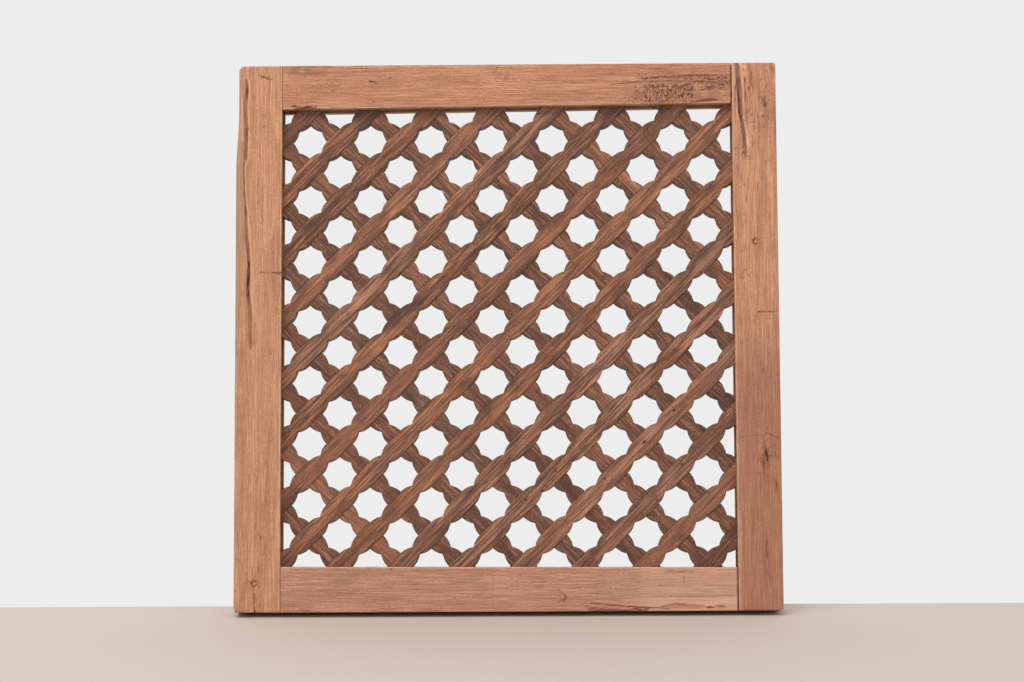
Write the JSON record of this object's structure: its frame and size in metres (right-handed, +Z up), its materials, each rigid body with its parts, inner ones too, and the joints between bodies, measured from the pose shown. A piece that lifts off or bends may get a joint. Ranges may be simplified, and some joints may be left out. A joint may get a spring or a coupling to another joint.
{
  "type": "lattice panel",
  "caption": "Framed panel of old wood with a lattice of scalloped diagonal strips, lapped at each crossing and let into a mortised frame, to be fixed on a wall or in an opening.",
  "frame": {"origin": "on the flat back face of the top rail, at the middle of the panel's width, where the panel is fixed to what holds it", "axes": "+Y out of the back of the panel towards what it is fixed to, +Z up, +X to the right as seen from the front"},
  "size_m": [0.61, 0.038, 0.616],
  "materials": {
    "frame_wood": "worn matt reddish brown softwood with open grain, checks and rubbed edges",
    "rising_wood": "dry matt brown wood, deeply weathered grain, front layer of the lattice",
    "falling_wood": "dry matt dark brown wood, deeply weathered grain, rear layer of the lattice"
  },
  "bodies": {
    "root": {"left_stile": "frame_wood", "right_stile": "frame_wood", "top_rail": "frame_wood", "bottom_rail": "frame_wood", "rising_strip_01": "rising_wood", "rising_strip_02": "rising_wood", "rising_strip_03": "rising_wood", "rising_strip_04": "rising_wood", "rising_strip_05": "rising_wood", "rising_strip_06": "rising_wood", "rising_strip_07": "rising_wood", "rising_strip_08": "rising_wood", "rising_strip_09": "rising_wood", "rising_strip_10": "rising_wood", "rising_strip_11": "rising_wood", "rising_strip_12": "rising_wood", "rising_strip_13": "rising_wood", "rising_strip_14": "rising_wood", "rising_strip_15": "rising_wood", "falling_strip_01": "falling_wood", "falling_strip_02": "falling_wood", "falling_strip_03": "falling_wood", "falling_strip_04": "falling_wood", "falling_strip_05": "falling_wood", "falling_strip_06": "falling_wood", "falling_strip_07": "falling_wood", "falling_strip_08": "falling_wood", "falling_strip_09": "falling_wood", "falling_strip_10": "falling_wood", "falling_strip_11": "falling_wood", "falling_strip_12": "falling_wood", "falling_strip_13": "falling_wood", "falling_strip_14": "falling_wood"}
  },
  "joints": []
}
